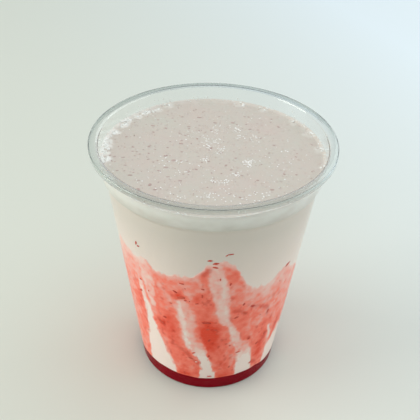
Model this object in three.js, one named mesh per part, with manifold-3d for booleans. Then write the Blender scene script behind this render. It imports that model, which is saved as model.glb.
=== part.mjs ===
// A clear plastic cup of strawberry milkshake, as sold to take away. Millimetres, +Z up.
// The cup stands on z = 0, its axis is the Z axis, and the side at -Y is the front.
// Angles round the cup are in degrees from the front, positive towards +X.
import * as THREE from "three";
import { mergeVertices } from "three/addons/utils/BufferGeometryUtils.js";
import Module from "manifold-3d";

const wasm = await Module();
wasm.setup();

// Driving sizes of the cup.
const cupHeight = 107;
const rimRadius = 47.5;
const wallThickness = 0.5;
const lipDrop = 2.1; // the lip turns over and hangs down by this
const lipBend = 1.4; // the inner wall bends out into the lip's flat top over this radius
const lipCorner = 0.6; // the lip's outer corner
const neckTopRadius = 44.3; // outside of the wall just under the lip
const neckFootRadius = 43.1; // outside of the wall just above the shoulder
const bodyTopRadius = 41.6; // outside of the tapered body just under the shoulder
const bodyFootRadius = 29.7; // outside of the tapered body just above the foot
const shoulderHeight = 93; // where the body ends
const shoulderRise = 1.8; // the stacking shoulder steps out over this height
const footCorner = 1; // the rounded corner at the foot
const footRingInner = 24.6; // the flat ring that the cup stands on ends here
const floorRise = 2.2; // the floor inside the ring is pushed up by this
const floorSlope = 1.6;

// Driving sizes of what is in the cup.
const touchGap = 0.3; // between pieces that touch
const syrupTop = 7;
const frothFoot = 94.2;
const frothTop = 100.4; // at the wall
const frothCrown = 0.5; // the middle stands this much higher
const frothLipRise = 0.6; // froth that clings to the wall
const frothLipWidth = 2.6;
const pureeThickness = 1.8;

const turnSegments = 72;
const bendSteps = 5;
const lipSteps = 3;
const cornerSteps = 3;

const radians = THREE.MathUtils.degToRad;

// Points along an arc of a section, given by its centre, radius and two angles in degrees.
function arc(centreR, centreZ, radius, from, to, steps) {
  return Array.from({ length: steps + 1 }, (_, i) => {
    const angle = radians(from + ((to - from) * i) / steps);
    return new THREE.Vector2(
      centreR + radius * Math.cos(angle),
      centreZ + radius * Math.sin(angle),
    );
  });
}

// A section turned about the Z axis. The points run up the outside and back down the inside.
function turned(points) {
  return new THREE.LatheGeometry(points, turnSegments).rotateX(Math.PI / 2);
}

// A closed geometry as a manifold solid, and back again.
function solidOf(geometry) {
  const bare = geometry.clone();
  bare.deleteAttribute("normal");
  bare.deleteAttribute("uv");
  const merged = mergeVertices(bare, 1e-3);
  const corners = merged.index.array;
  const kept = [];
  for (let i = 0; i < corners.length; i += 3) {
    const [a, b, c] = corners.slice(i, i + 3);
    if (a !== b && b !== c && c !== a) kept.push(a, b, c);
  }
  return new wasm.Manifold(
    new wasm.Mesh({
      numProp: 3,
      vertProperties: merged.attributes.position.array,
      triVerts: new Uint32Array(kept),
    }),
  );
}

function geometryOf(solid) {
  const mesh = solid.getMesh();
  const geometry = new THREE.BufferGeometry();
  geometry.setAttribute(
    "position",
    new THREE.BufferAttribute(new Float32Array(mesh.vertProperties), 3),
  );
  geometry.setIndex(new THREE.BufferAttribute(new Uint32Array(mesh.triVerts), 1));
  geometry.computeVertexNormals();
  return geometry;
}

// The outside of the cup's wall at a height, up to the lip.
function wallRadius(z) {
  const shoulderEnd = shoulderHeight + shoulderRise;
  const neckTop = cupHeight - lipBend;
  if (z <= shoulderHeight)
    return THREE.MathUtils.mapLinear(z, footCorner, shoulderHeight, bodyFootRadius, bodyTopRadius);
  if (z <= shoulderEnd)
    return THREE.MathUtils.mapLinear(z, shoulderHeight, shoulderEnd, bodyTopRadius, neckFootRadius);
  return THREE.MathUtils.mapLinear(z, shoulderEnd, neckTop, neckFootRadius, neckTopRadius);
}

// The outside of what the cup holds at a height.
function fillRadius(z) {
  return wallRadius(z) - wallThickness - touchGap;
}

// The lip's section from the neck to its lower edge, at a depth under its upper side.
function lipPath(depth) {
  const bendR = neckTopRadius - wallThickness + lipBend;
  const cornerR = rimRadius - lipCorner;
  return [
    ...arc(bendR, cupHeight - lipBend, lipBend - depth, 180, 90, bendSteps),
    ...arc(cornerR, cupHeight - lipCorner, lipCorner - depth, 90, 0, lipSteps),
    new THREE.Vector2(rimRadius - depth, cupHeight - lipDrop),
  ];
}

// The cup: foot ring, pushed-up floor, tapered body, stacking shoulder, neck and turned-over lip.
function cupGeometry() {
  const cornerR = bodyFootRadius - footCorner;
  const shoulderEnd = shoulderHeight + shoulderRise;
  const outside = [
    new THREE.Vector2(0, floorRise),
    new THREE.Vector2(footRingInner - floorSlope, floorRise),
    new THREE.Vector2(footRingInner, 0),
    ...arc(cornerR, footCorner, footCorner, -90, 0, cornerSteps),
    new THREE.Vector2(bodyTopRadius, shoulderHeight),
    new THREE.Vector2(neckFootRadius, shoulderEnd),
    ...lipPath(wallThickness),
  ];
  const inside = [
    ...lipPath(0).reverse(),
    new THREE.Vector2(neckFootRadius - wallThickness, shoulderEnd),
    new THREE.Vector2(bodyTopRadius - wallThickness, shoulderHeight),
    ...arc(cornerR, footCorner, footCorner - wallThickness, 0, -90, cornerSteps),
    new THREE.Vector2(footRingInner, wallThickness),
    new THREE.Vector2(footRingInner - floorSlope, floorRise + wallThickness),
    new THREE.Vector2(0, floorRise + wallThickness),
  ];
  return turned([...outside, ...inside]);
}

// The dark syrup that has settled on the floor.
function syrupGeometry() {
  const lift = wallThickness + touchGap;
  const cornerR = bodyFootRadius - footCorner;
  return turned([
    new THREE.Vector2(0, floorRise + lift),
    new THREE.Vector2(footRingInner - floorSlope, floorRise + lift),
    new THREE.Vector2(footRingInner, lift),
    ...arc(cornerR, footCorner, footCorner - lift, -90, 0, cornerSteps),
    new THREE.Vector2(fillRadius(syrupTop), syrupTop),
    new THREE.Vector2(0, syrupTop),
  ]);
}

// The heights that the strawberry puree reaches up the wall, as [angle, height] pairs round the cup.
const pureeCrest = [
  [-78, 63],
  [-58, 72],
  [-43, 70],
  [-33, 65],
  [-20, 68],
  [-9, 69],
  [-4, 75],
  [3, 79],
  [11, 77],
  [18, 71],
  [24, 61],
  [34, 61],
  [44, 61],
  [52, 66],
  [62, 60],
  [80, 54],
  [100, 66],
  [118, 52],
  [138, 71],
  [158, 58],
  [178, 74],
  [200, 60],
  [222, 68],
  [245, 54],
  [263, 60],
];

// The gaps in the puree where the milk shows, each a list of [height, middle angle, width in degrees].
const pureeGaps = {
  left: [
    [-4, -38, 34],
    [10, -39, 29],
    [20, -40, 19],
    [32, -42, 10],
    [48, -46, 6],
    [56, -48, 1],
  ],
  middle: [
    [-4, 0, 14],
    [10, 0, 13],
    [19, -2, 8],
    [27, -9, 10],
    [40, -14, 9],
    [54, -16, 5],
  ],
  tall: [
    [45, 12, 5],
    [52, 8, 8],
    [62, 6.5, 8],
    [70, 6, 5],
  ],
  low: [
    [-4, 29, 14],
    [12, 29, 13],
    [21, 27, 9],
    [30, 20, 7],
    [38, 17, 5],
  ],
  right: [
    [-4, 66, 32],
    [12, 66, 30],
    [20, 66, 20],
    [27, 64, 4],
  ],
  backRight: [
    [-4, 106, 22],
    [16, 108, 17],
    [30, 112, 8],
    [44, 114, 3],
  ],
  back: [
    [-4, 152, 20],
    [20, 148, 14],
    [40, 144, 8],
    [54, 142, 3],
  ],
  backMiddle: [
    [-4, 192, 18],
    [18, 190, 11],
    [36, 184, 8],
    [58, 180, 4],
  ],
  backLeft: [
    [-4, 236, 22],
    [14, 236, 16],
    [28, 233, 9],
    [42, 229, 3],
  ],
};

const smooth = (t) => t * t * (3 - 2 * t);

// The puree's upper edge at an angle, eased from one crest point to the next.
function crestAt(angle) {
  const first = pureeCrest[0];
  const turn = first[0] + THREE.MathUtils.euclideanModulo(angle - first[0], 360);
  const ring = [...pureeCrest, [first[0] + 360, first[1]]];
  const i = ring.findIndex(([a]) => a > turn) - 1;
  const [[a0, z0], [a1, z1]] = [ring[i], ring[i + 1]];
  return z0 + (z1 - z0) * smooth((turn - a0) / (a1 - a0));
}

// A point on the cup's contents, from its angle, its height and how deep it lies under their surface.
function onWall(angle, z, depth) {
  const r = fillRadius(z) - depth;
  return [r * Math.sin(radians(angle)), -r * Math.cos(radians(angle)), z];
}

// A closed solid from rings of points: each ring is a loop of corners, and the last ring meets the first.
function loopOfSections(sections) {
  const corners = sections[0].length;
  const index = [];
  sections.forEach((_, i) => {
    const a = i * corners;
    const b = ((i + 1) % sections.length) * corners;
    for (let k = 0; k < corners; k++) {
      const next = (k + 1) % corners;
      index.push(a + k, b + k, b + next, a + k, b + next, a + next);
    }
  });
  const geometry = new THREE.BufferGeometry();
  geometry.setAttribute("position", new THREE.Float32BufferAttribute(sections.flat(2), 3));
  geometry.setIndex(index);
  return geometry;
}

// The band of puree on the wall before its gaps are cut. Room adds to its depth and its edge.
function pureeBand(room) {
  const foot = syrupTop + touchGap - room;
  const sections = [];
  for (let i = 0; i < 2 * turnSegments; i++) {
    const angle = (i * 180) / turnSegments;
    const top = crestAt(angle) + room;
    sections.push([
      onWall(angle, foot, -3 * room),
      onWall(angle, top, -3 * room),
      onWall(angle, top, pureeThickness + room),
      onWall(angle, foot, pureeThickness + room),
    ]);
  }
  return solidOf(loopOfSections(sections));
}

// A gap's cutter: a curved slab that follows the gap's stations and reaches through the band.
function gapCutter(stations, room) {
  const outlines = [];
  const reach = 6;
  const stepsAcross = 3;
  for (const [z, middle, width] of stations) {
    const trim = THREE.MathUtils.radToDeg(room / fillRadius(z));
    const half = Math.max(width / 2 - trim, 0.3);
    const across = Array.from(
      { length: stepsAcross + 1 },
      (_, k) => middle - half + (2 * half * k) / stepsAcross,
    );
    outlines.push([
      ...across.map((angle) => onWall(angle, z, -reach)),
      ...across.reverse().map((angle) => onWall(angle, z, reach)),
    ]);
  }
  return solidOf(stackOfOutlines(outlines));
}

// A closed solid from outlines stacked from the lowest to the highest, with both ends capped.
function stackOfOutlines(outlines) {
  const n = outlines[0].length;
  const index = [];
  for (let row = 0; row + 1 < outlines.length; row++)
    for (let k = 0; k < n; k++) {
      const a = row * n + k;
      const b = row * n + ((k + 1) % n);
      index.push(a, b, b + n, a, b + n, a + n);
    }
  const top = (outlines.length - 1) * n;
  for (let k = 0; k + 1 < n / 2; k++) {
    const [p, q, r, s] = [k, k + 1, n - 2 - k, n - 1 - k];
    index.push(p, r, q, p, s, r);
    index.push(top + p, top + q, top + r, top + p, top + r, top + s);
  }
  const geometry = new THREE.BufferGeometry();
  geometry.setAttribute("position", new THREE.Float32BufferAttribute(outlines.flat(2), 3));
  geometry.setIndex(index);
  return geometry;
}

function pureeSolid(room) {
  let puree = pureeBand(room);
  for (const stations of Object.values(pureeGaps))
    puree = puree.subtract(gapCutter(stations, room));
  return puree;
}

// The milk: all of the body that isn't puree.
function milkSolid() {
  const foot = syrupTop + touchGap;
  const top = frothFoot - touchGap;
  const heights = [foot, shoulderHeight, top];
  const body = turned([
    new THREE.Vector2(0, foot),
    ...heights.map((z) => new THREE.Vector2(fillRadius(z), z)),
    new THREE.Vector2(0, top),
  ]);
  return solidOf(body).subtract(pureeSolid(touchGap));
}

// The froth: a slightly domed layer with a soft lip where it clings to the wall.
function frothGeometry() {
  const neckEdge = fillRadius(frothTop);
  const domeSteps = 6;
  const lipInner = neckEdge - frothLipWidth;
  const dome = Array.from({ length: domeSteps }, (_, i) => {
    const share = 1 - i / domeSteps;
    const rise = frothCrown * Math.cos((Math.PI / 2) * share);
    return new THREE.Vector2(lipInner * share, frothTop + rise);
  });
  return turned([
    new THREE.Vector2(0, frothFoot),
    new THREE.Vector2(fillRadius(frothFoot), frothFoot),
    new THREE.Vector2(fillRadius(shoulderHeight + shoulderRise), shoulderHeight + shoulderRise),
    new THREE.Vector2(fillRadius(frothTop + frothLipRise), frothTop + frothLipRise),
    new THREE.Vector2(neckEdge - frothLipWidth / 3, frothTop + frothLipRise * 0.8),
    ...dome,
    new THREE.Vector2(0, frothTop + frothCrown),
  ]);
}

const finishes = {
  clearPlastic: { color: 0xe6efec, roughness: 0.05, metalness: 0, transparent: true, opacity: 0.3 },
  milk: { color: 0xe9e3d6, roughness: 0.35, metalness: 0 },
  froth: { color: 0xdccdc2, roughness: 0.5, metalness: 0 },
  puree: { color: 0xd6604a, roughness: 0.35, metalness: 0 },
  syrup: { color: 0x6e0d16, roughness: 0.15, metalness: 0 },
};

const shake = new THREE.Group();

function add(name, geometry, finish) {
  const mesh = new THREE.Mesh(geometry, new THREE.MeshStandardMaterial(finishes[finish]));
  mesh.name = name;
  shake.add(mesh);
}

add("cup", cupGeometry(), "clearPlastic");
add("syrup_layer", syrupGeometry(), "syrup");
add("milk", geometryOf(milkSolid()), "milk");
add("strawberry_puree", geometryOf(pureeSolid(0)), "puree");
add("froth", frothGeometry(), "froth");

export default shake;
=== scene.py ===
import math

import bmesh
import bpy
import numpy as np
from mathutils import Matrix


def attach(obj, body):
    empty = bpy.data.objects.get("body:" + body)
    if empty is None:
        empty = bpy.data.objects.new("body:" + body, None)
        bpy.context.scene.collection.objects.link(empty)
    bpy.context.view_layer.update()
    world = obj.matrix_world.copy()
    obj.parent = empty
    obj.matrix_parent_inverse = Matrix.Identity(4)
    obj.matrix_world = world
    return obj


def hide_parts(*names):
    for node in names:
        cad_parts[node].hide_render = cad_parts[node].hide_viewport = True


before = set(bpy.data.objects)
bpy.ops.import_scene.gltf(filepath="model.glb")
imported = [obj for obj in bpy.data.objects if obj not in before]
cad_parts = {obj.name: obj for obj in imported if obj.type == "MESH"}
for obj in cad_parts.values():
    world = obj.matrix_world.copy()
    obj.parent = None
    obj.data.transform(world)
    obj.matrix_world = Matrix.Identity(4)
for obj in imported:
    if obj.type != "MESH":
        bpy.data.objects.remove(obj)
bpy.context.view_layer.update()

mm = 0.001

# Camera: it looks along +Y and down at the cup, turned a little about its own axis.
cameraValues = {"place": (-0.0006, -0.2479, 0.2502), "down": 35.53, "roll": 1.68, "lens": 64.29}


def makeCamera(values):
    down = math.radians(values["down"])
    roll = math.radians(values["roll"])
    ahead = np.array([0, math.cos(down), -math.sin(down)])
    right = np.array([1.0, 0, 0])
    up = np.cross(right, ahead)
    turnedRight = right * math.cos(roll) + up * math.sin(roll)
    turnedUp = -right * math.sin(roll) + up * math.cos(roll)
    data = bpy.data.cameras.new("camera")
    data.lens = values["lens"]
    data.sensor_width = 36
    data.clip_start = 0.01
    data.clip_end = 20
    camera = bpy.data.objects.new("camera", data)
    bpy.context.scene.collection.objects.link(camera)
    pose = np.eye(4)
    pose[:3, 0], pose[:3, 1], pose[:3, 2] = turnedRight, turnedUp, -ahead
    pose[:3, 3] = values["place"]
    camera.matrix_world = Matrix(pose.tolist())
    bpy.context.scene.camera = camera


makeCamera(cameraValues)
bpy.context.scene.view_settings.view_transform = "Standard"

# Sizes of the cup, in millimetres, as in the solid model.
cup = {
    "height": 107,
    "rim": 47.5,
    "wall": 0.5,
    "lipDrop": 2.1,
    "lipBend": 1.4,
    "lipCorner": 0.6,
    "neckTop": 44.3,
    "neckFoot": 43.1,
    "bodyTop": 41.6,
    "bodyFoot": 29.7,
    "shoulder": 93,
    "shoulderRise": 1.8,
    "corner": 1,
    "ringInner": 24.6,
    "floorRise": 2.2,
    "floorSlope": 1.6,
    "softness": 0.7,
}
# Heights of what is in the cup: where the syrup ends, and where the froth begins and ends.
levels = {"syrup": 7.5, "frothFoot": 94.2, "froth": 100.4}
turnColumns = 256  # how finely the round pieces are turned


# Outside radius of the wall at a height, with sharp bends.
def wallRadius(z):
    neckTopHeight = cup["height"] - cup["lipBend"]
    heights = [cup["corner"], cup["shoulder"], cup["shoulder"] + cup["shoulderRise"], neckTopHeight]
    radii = [cup["bodyFoot"], cup["bodyTop"], cup["neckFoot"], cup["neckTop"]]
    slope = (cup["bodyTop"] - cup["bodyFoot"]) / (cup["shoulder"] - cup["corner"])
    z = np.asarray(z, float)
    inside = np.interp(z, heights, radii)
    return np.where(z < cup["corner"], cup["bodyFoot"] + slope * (z - cup["corner"]), inside)


# Outside radius of the wall with the shoulder's two bends rounded.
def softWall(z):
    offsets = np.linspace(-1, 1, 9) * cup["softness"]
    return np.mean([wallRadius(np.asarray(z, float) + d) for d in offsets], axis=0)


# Points by the angle in degrees from the front, the height and the depth under the wall's outside.
def onWall(angle, z, depth):
    r = softWall(z) - depth
    a = np.radians(angle)
    return np.stack([r * np.sin(a), -r * np.cos(a), np.broadcast_to(z, np.shape(r * a))], axis=-1)


# Smooth noise that closes on itself round the cup. Its tables are drawn once and kept.
noiseTables = {}
noiseValues = {"rows": 997, "flatColumns": 991, "radius": 36, "fade": 0.55, "gain": 1.6}


def valueNoise(seed, u, v, across):
    rows = noiseValues["rows"]
    if (seed, across) not in noiseTables:
        noiseTables[(seed, across)] = np.random.RandomState(seed).rand(rows, across)
    table = noiseTables[(seed, across)]
    iu, iv = np.floor(u).astype(int), np.floor(v).astype(int)
    fu, fv = u - iu, v - iv
    fu, fv = fu * fu * (3 - 2 * fu), fv * fv * (3 - 2 * fv)
    u0, u1 = iu % across, (iu + 1) % across
    v0, v1 = iv % rows, (iv + 1) % rows
    low = table[v0, u0] * (1 - fu) + table[v0, u1] * fu
    high = table[v1, u0] * (1 - fu) + table[v1, u1] * fu
    return (low * (1 - fv) + high * fv) * 2 - 1


# The sum of ever finer layers of noise, each fainter than the one before.
def summedLayers(layers):
    total, weight, most = 0, 1.0, 0
    for layer in layers:
        total = total + weight * layer
        most += weight
        weight *= noiseValues["fade"]
    return total / most * noiseValues["gain"]


# Noise from about -1 to 1 on the wall, with cells of the given sizes in millimetres.
def wallNoise(seed, angle, z, sizeAcross, sizeUp, octaves=3):
    around = max(3, round(2 * math.pi * noiseValues["radius"] / sizeAcross))
    layers = []
    for octave in range(octaves):
        cells = around * 2**octave
        layers.append(valueNoise(seed + octave, angle / 360 * cells, z / sizeUp * 2**octave + 40, cells))
    return summedLayers(layers)


# The same on a level surface, which doesn't close on itself.
def flatNoise(seed, x, y, size, octaves=3):
    layers = []
    for octave in range(octaves):
        u, v = (x + 200) / size * 2**octave, (y + 200) / size * 2**octave
        layers.append(valueNoise(seed + octave, u, v, noiseValues["flatColumns"]))
    return summedLayers(layers)


# From 0 at low to 1 at high, with soft ends; low may be the larger.
def step(low, high, value):
    t = np.clip((value - low) / (high - low), 0, 1)
    return t * t * (3 - 2 * t)


# A smooth-shaded piece from millimetre vertices, with a value at each vertex for every attribute.
def makeMesh(name, verts, faces, material, attributes=None):
    mesh = bpy.data.meshes.new(name)
    mesh.from_pydata((np.asarray(verts) * mm).tolist(), [], [list(map(int, f)) for f in faces])
    for key, values in (attributes or {}).items():
        layer = mesh.attributes.new(key, "FLOAT", "POINT")
        layer.data.foreach_set("value", np.asarray(values, np.float32).ravel())
    mesh.polygons.foreach_set("use_smooth", [True] * len(mesh.polygons))
    mesh.materials.append(material)
    mesh.validate()
    mesh.update()
    piece = bpy.data.objects.new(name, mesh)
    bpy.context.scene.collection.objects.link(piece)
    return piece


# Quads of a grid with the columns going round; row 0 is the lowest, and the faces look out.
def gridFaces(rows, columns):
    r, c = np.meshgrid(np.arange(rows - 1), np.arange(columns), indexing="ij")
    a, b = r * columns + c, r * columns + (c + 1) % columns
    return np.stack([a, b, b + columns, a + columns], axis=-1).reshape(-1, 4)


# Vertices and faces of a closed profile of (r, z) points turned about the axis; r = 0 ends are poles.
def turnProfile(profile, columns):
    angle = np.arange(columns) * 2 * math.pi / columns
    verts, rings = [], []
    for r, z in profile:
        if r < 1e-6:
            rings.append([len(verts)])
            verts.append((0, 0, z))
        else:
            rings.append(list(range(len(verts), len(verts) + columns)))
            verts.extend(zip(r * np.sin(angle), -r * np.cos(angle), [z] * columns))
    faces = []
    for low, high in zip(rings, rings[1:]):
        for k in range(columns):
            n = (k + 1) % columns
            if len(low) == 1:
                faces.append((low[0], high[n], high[k]))
            elif len(high) == 1:
                faces.append((low[k], low[n], high[0]))
            else:
                faces.append((low[k], low[n], high[n], high[k]))
    return np.array(verts, float), faces


def keep(piece, node=None):
    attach(piece, "root")
    if node:
        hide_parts(node)
    print(f"made {piece.name} with {len(piece.data.polygons)} faces")
    return piece


def setInputs(node, values):
    for label, value in values.items():
        node.inputs[label].default_value = value


def addNode(tree, kind, **values):
    node = tree.nodes.new(kind)
    setInputs(node, values)
    return node


# A factor, a first and a second colour may each be a fixed value or another node's output.
def mixColour(tree, factor, first, second):
    node = tree.nodes.new("ShaderNodeMix")
    node.data_type = "RGBA"
    for socket, value in ((node.inputs[0], factor), (node.inputs[6], first), (node.inputs[7], second)):
        if hasattr(value, "is_output"):
            tree.links.new(value, socket)
        else:
            socket.default_value = value if isinstance(value, float) else (*value, 1)
    return node.outputs[2]


def mathNode(tree, operation, first, second=0.5, clamp=False):
    node = tree.nodes.new("ShaderNodeMath")
    node.operation = operation
    node.use_clamp = clamp
    for socket, value in zip(node.inputs, (first, second)):
        if hasattr(value, "is_output"):
            tree.links.new(value, socket)
        else:
            socket.default_value = value
    return node.outputs[0]


def attribute(tree, name):
    node = tree.nodes.new("ShaderNodeAttribute")
    node.attribute_name = name
    return node.outputs["Fac"]


# A new material whose shader has the given plain values; colour and relief are linked to it later.
def startMaterial(name, values):
    material = bpy.data.materials.new(name)
    material.use_nodes = True
    tree = material.node_tree
    shader = tree.nodes["Principled BSDF"]
    setInputs(shader, values)
    return material, tree, shader


def groupSockets(name, inputs, outputs):
    group = bpy.data.node_groups.new(name, "ShaderNodeTree")
    for label, value in inputs.items():
        socket = group.interface.new_socket(label, in_out="INPUT", socket_type="NodeSocketFloat")
        socket.default_value = value
    for label, kind in outputs.items():
        group.interface.new_socket(label, in_out="OUTPUT", socket_type=kind)
    return group, group.nodes.new("NodeGroupInput"), group.nodes.new("NodeGroupOutput")


# Soft patches at two sizes, as a value from 0 to 1.
def makeMottle():
    inputs = {"Large": 60.0, "Small": 400.0, "Share": 0.35, "Contrast": 1.6}
    group, into, out = groupSockets("mottle", inputs, {"Value": "NodeSocketFloat"})
    place = group.nodes.new("ShaderNodeTexCoord")
    values = []
    for label in ("Large", "Small"):
        noise = addNode(group, "ShaderNodeTexNoise", Detail=4.0, Roughness=0.55)
        group.links.new(place.outputs["Object"], noise.inputs["Vector"])
        group.links.new(into.outputs[label], noise.inputs["Scale"])
        values.append(noise.outputs["Fac"])
    mix = group.nodes.new("ShaderNodeMix")
    group.links.new(into.outputs["Share"], mix.inputs[0])
    group.links.new(values[0], mix.inputs[2])
    group.links.new(values[1], mix.inputs[3])
    centred = mathNode(group, "SUBTRACT", mix.outputs[0], 0.5)
    spread = mathNode(group, "MULTIPLY", centred, into.outputs["Contrast"])
    lifted = mathNode(group, "ADD", spread, 0.5, clamp=True)
    group.links.new(lifted, out.inputs["Value"])
    return group


# Fine relief of a wet or moulded surface, as a normal.
def makeRelief():
    inputs = {"Scale": 500.0, "Strength": 0.2, "Height": 0.0002}
    group, into, out = groupSockets("relief", inputs, {"Normal": "NodeSocketVector"})
    place = group.nodes.new("ShaderNodeTexCoord")
    noise = addNode(group, "ShaderNodeTexNoise", Detail=3.0, Roughness=0.6)
    bump = group.nodes.new("ShaderNodeBump")
    group.links.new(place.outputs["Object"], noise.inputs["Vector"])
    group.links.new(into.outputs["Scale"], noise.inputs["Scale"])
    group.links.new(into.outputs["Strength"], bump.inputs["Strength"])
    group.links.new(into.outputs["Height"], bump.inputs["Distance"])
    group.links.new(noise.outputs["Fac"], bump.inputs["Height"])
    group.links.new(bump.outputs["Normal"], out.inputs["Normal"])
    return group


mottle = makeMottle()
relief = makeRelief()


def useGroup(tree, group, **values):
    node = tree.nodes.new("ShaderNodeGroup")
    node.node_tree = group
    setInputs(node, values)
    return node.outputs[0]


def addRelief(tree, shader, scale, strength, height=0.0002):
    normal = useGroup(tree, relief, Scale=scale, Strength=strength, Height=height)
    tree.links.new(normal, shader.inputs["Normal"])


# The clear plastic cup.
plasticValues = {
    "tint": (0.955, 0.96, 0.952),
    # Painted shade: the greyer colour that the lip is painted for its edge-on look.
    "lip": (0.62, 0.69, 0.675),
    "roughness": 0.03,
    "ior": 1.45,
    "ripple": 0.05,
}
# Where the drink wets the wall from inside, the wall shines less, as the drink bends light as much.
wettedValues = {**plasticValues, "tint": (0.975, 0.98, 0.972), "lip": (0.975, 0.98, 0.972), "ior": 1.06}
wettedGloss = 0.03  # what touches the wall from inside has hardly any gloss, as the wall has it
# How far the lip's flat, its outer edge and its upper corner go towards the lip's painted grey shade.
lipShares = {"flat": 0.26, "edge": 0.1, "corner": 0.5}


def clearPlastic(name, values):
    material, tree, shader = startMaterial(name, {
        "Roughness": values["roughness"],
        "IOR": values["ior"],
        "Metallic": 0,
        "Transmission Weight": 1,
    })
    colour = mixColour(tree, attribute(tree, "lip"), values["tint"], values["lip"])
    tree.links.new(colour, shader.inputs["Base Color"])
    addRelief(tree, shader, scale=90.0, strength=values["ripple"], height=0.0004)
    # Light reaches the contents straight through the thin wall.
    path = tree.nodes.new("ShaderNodeLightPath")
    clear = addNode(tree, "ShaderNodeBsdfTransparent", Color=(0.96, 0.98, 0.975, 1))
    mix = tree.nodes.new("ShaderNodeMixShader")
    straight = mathNode(tree, "MAXIMUM", path.outputs["Is Shadow Ray"], path.outputs["Is Diffuse Ray"])
    tree.links.new(straight, mix.inputs[0])
    tree.links.new(shader.outputs[0], mix.inputs[1])
    tree.links.new(clear.outputs[0], mix.inputs[2])
    tree.links.new(mix.outputs[0], tree.nodes["Material Output"].inputs["Surface"])
    return material


def arcPoints(centreR, centreZ, radius, start, end, steps):
    angles = np.radians(np.linspace(start, end, steps + 1))
    return list(zip(centreR + radius * np.cos(angles), centreZ + radius * np.sin(angles)))


# The lip's section from the neck to its lower edge, at a depth under its upper side.
def lipPath(depth):
    bend, corner = cup["lipBend"], cup["lipCorner"]
    bendR = cup["neckTop"] - cup["wall"] + bend
    cornerR = cup["rim"] - corner
    path = arcPoints(bendR, cup["height"] - bend, bend - depth, 180, 90, 12)
    path += arcPoints(cornerR, cup["height"] - corner, corner - depth, 90, 0, 8)
    return path + [(cup["rim"] - depth, cup["height"] - cup["lipDrop"] + cup["wall"] / 2)]


def makeCup():
    wall, rim, top = cup["wall"], cup["rim"], cup["height"]
    cornerR = cup["bodyFoot"] - cup["corner"]
    ringStart, slopeStart = cup["ringInner"] + 0.2, cup["ringInner"] - cup["floorSlope"]
    shoulderTop = cup["shoulder"] + cup["shoulderRise"]
    heights = np.concatenate([
        np.linspace(cup["corner"], cup["shoulder"] - 2, 40),
        np.linspace(cup["shoulder"] - 1.6, shoulderTop + 1.6, 16),
        np.linspace(shoulderTop + 2.2, top - cup["lipBend"] - 0.8, 8),
    ])
    outside = softWall(heights)
    outside[0] = cup["bodyFoot"]
    profile = [(0, cup["floorRise"]), (slopeStart - 0.5, cup["floorRise"])]
    profile += [(slopeStart, cup["floorRise"] - 0.15), (cup["ringInner"] - 0.2, 0.1), (ringStart, 0)]
    profile += arcPoints(cornerR, cup["corner"], cup["corner"], -90, -4, 10)
    profile += list(zip(outside, heights))
    edge = (rim - wall / 2, top - cup["lipDrop"] + wall / 2)
    profile += lipPath(wall) + arcPoints(*edge, wall / 2, 200, 340, 6) + lipPath(0)[::-1]
    profile += list(zip((outside - wall)[::-1], heights[::-1]))
    profile += arcPoints(cornerR, cup["corner"], cup["corner"] - wall, -4, -90, 10)
    profile += [(ringStart, wall), (slopeStart, cup["floorRise"] + wall), (0, cup["floorRise"] + wall)]
    verts, faces = turnProfile(profile, turnColumns)
    # The lip's grey is painted shade, with a little of the plastic's own green tint: its plastic is seen
    # edge on, so it looks greyer than the wall, most of all its outer corner.
    radius, height = np.hypot(verts[:, 0], verts[:, 1]), verts[:, 2]
    flat = step(cup["neckTop"] + 0.1, cup["neckTop"] + 1.2, radius)
    outer = step(rim - 0.8, rim - 0.5, radius)
    corner = step(rim - 0.75, rim - 0.4, radius) * step(top - 0.9, top - 0.5, height)
    lip = lipShares["flat"] * flat + lipShares["edge"] * outer + lipShares["corner"] * corner
    piece = makeMesh("cupShell", verts, faces, clearPlastic("clearPlastic", plasticValues), {"lip": lip})
    piece.data.materials.append(clearPlastic("wettedPlastic", wettedValues))
    wettedTo = levels["frothFoot"] + 0.6
    for polygon in piece.data.polygons:
        polygon.material_index = int(max(height[v] for v in polygon.vertices) < wettedTo)
    return keep(piece, "cup")


makeCup()

# Milk is paler and pinker low down, among the puree, and a warmer grey cream above it. The pink tinge is
# its own colour, but paler low down and darker above is painted light and painted shade: painted light
# where the floor lights the lower milk, painted shade where the rim shades the upper milk. It changes
# between the two heights, in metres.
milkToneShadeValues = {"low": (0.95, 0.785, 0.715), "high": (0.712, 0.635, 0.568), "from": 0.05, "to": 0.088}


def makeMilkToneAndShade(values):
    group, into, out = groupSockets("milkToneAndShade", {"Patch": 0.12}, {"Color": "NodeSocketColor"})
    place = group.nodes.new("ShaderNodeTexCoord")
    apart = group.nodes.new("ShaderNodeSeparateXYZ")
    group.links.new(place.outputs["Object"], apart.inputs[0])
    # Painted shade by height: the higher the milk, the more of the darker colour it takes.
    lift = mathNode(group, "SUBTRACT", apart.outputs["Z"], values["from"])
    share = mathNode(group, "MULTIPLY", lift, 1 / (values["to"] - values["from"]), clamp=True)
    patches = useGroup(group, mottle, Large=45.0, Small=500.0, Share=0.2, Contrast=1.8)
    shift = mathNode(group, "MULTIPLY", mathNode(group, "SUBTRACT", patches, 0.5), into.outputs["Patch"])
    share = mathNode(group, "ADD", share, shift, clamp=True)
    group.links.new(mixColour(group, share, values["low"], values["high"]), out.inputs["Color"])
    return group


milkToneAndShade = makeMilkToneAndShade(milkToneShadeValues)

# The milk fills the cup; it reaches a little into the wall, so that no air shows between them.
milkValues = {
    "reach": 0.26,
    "roughness": 0.35,
    "scatter": 0.12,
}


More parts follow.
